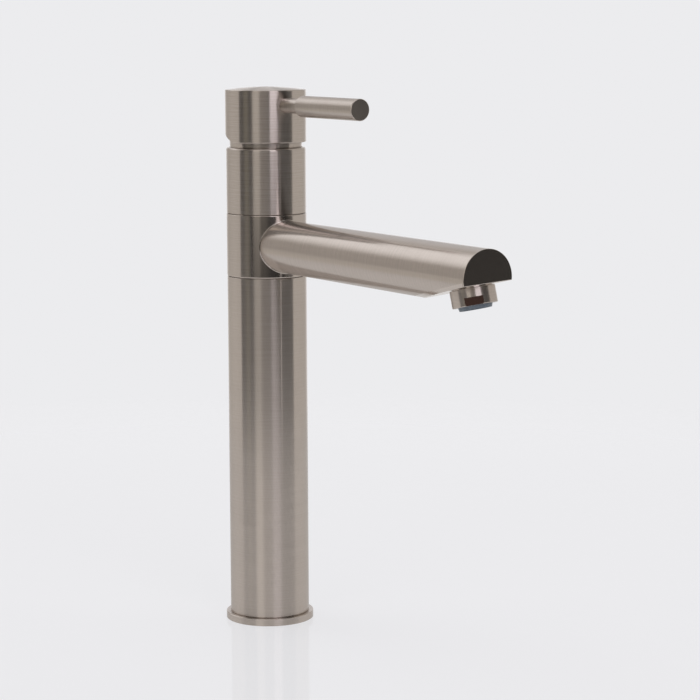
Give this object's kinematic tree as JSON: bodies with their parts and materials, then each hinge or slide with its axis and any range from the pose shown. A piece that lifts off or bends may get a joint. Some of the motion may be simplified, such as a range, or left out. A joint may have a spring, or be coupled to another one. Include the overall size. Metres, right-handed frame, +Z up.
{
  "type": "kitchen mixer tap",
  "caption": "Single-lever kitchen mixer tap: a tall round column with a level swivelling spout, a slanted aerator outlet and a pin lever on a cap that turns and lifts.",
  "frame": {"origin": "middle of the foot's underside, on the worktop", "axes": "+Z up the column; at rest the spout and the lever point along -Y; +X is to the right seen from the front"},
  "size_m": [0.051, 0.2451, 0.311],
  "materials": {
    "brushed_metal": "warm grey metal, finely brushed round each turned piece",
    "brass": "machined",
    "copper": "drawn tube",
    "rubber": "matt black",
    "glide_plastic": "smooth moulded",
    "cartridge_plastic": "moulded",
    "ceramic": "lapped ceramic",
    "plain_steel": "ground",
    "jet_plastic": "moulded, blue grey"
  },
  "bodies": {
    "tap_body": {"base_seal": "rubber", "base_ring": "brushed_metal", "inlet_block": "brass", "column_tube": "brushed_metal", "hot_riser": "copper", "cold_riser": "copper", "riser_seals": "rubber", "valve_body": "brass", "lower_glide_ring": "glide_plastic", "upper_glide_ring": "glide_plastic", "lower_spout_seal": "rubber", "upper_spout_seal": "rubber", "head_collar": "brushed_metal", "domed_neck": "brushed_metal", "retaining_nut": "brass", "cartridge_seals": "rubber", "cartridge_base": "cartridge_plastic", "cartridge_housing": "cartridge_plastic", "fixed_disc": "ceramic"},
    "spout": {"spout_collar": "brushed_metal", "spout_tube": "brushed_metal", "spout_end_plate": "brushed_metal", "outlet_plate": "brushed_metal", "aerator_washer": "rubber", "aerator_strainer": "plain_steel", "aerator_insert": "jet_plastic", "aerator_shell": "brushed_metal"},
    "guide": {"lever_guide": "glide_plastic", "pivot_pin": "plain_steel"},
    "lever": {"lever_stem": "plain_steel", "lever_cap": "brushed_metal", "grub_screw": "plain_steel", "lever_pin": "brushed_metal", "lever_grip": "brushed_metal"},
    "disc": {"moving_disc": "ceramic", "disc_carrier": "cartridge_plastic"}
  },
  "joints": [
    {"name": "spout_swivel", "type": "hinge", "parent": "tap_body", "child": "spout", "pos_m": [0, 0, 0.2206], "axis": [0, 0, 1], "continuous": true},
    {"name": "lever_turn", "type": "hinge", "parent": "tap_body", "child": "guide", "pos_m": [0, 0, 0.2795], "axis": [0, 0, 1], "range_deg": [-45, 45]},
    {"name": "lever_lift", "type": "hinge", "parent": "guide", "child": "lever", "pos_m": [0, 0, 0.2795], "axis": [-1, 0, 0], "range_deg": [0, 20]},
    {"name": "disc_slide", "type": "slide", "parent": "guide", "child": "disc", "axis": [0, -1, 0], "range_m": [0, 0.0039]}
  ],
  "couplings": [
    {"joint": "disc_slide", "follows": "lever_lift", "m_per_rad": 0.011}
  ]
}
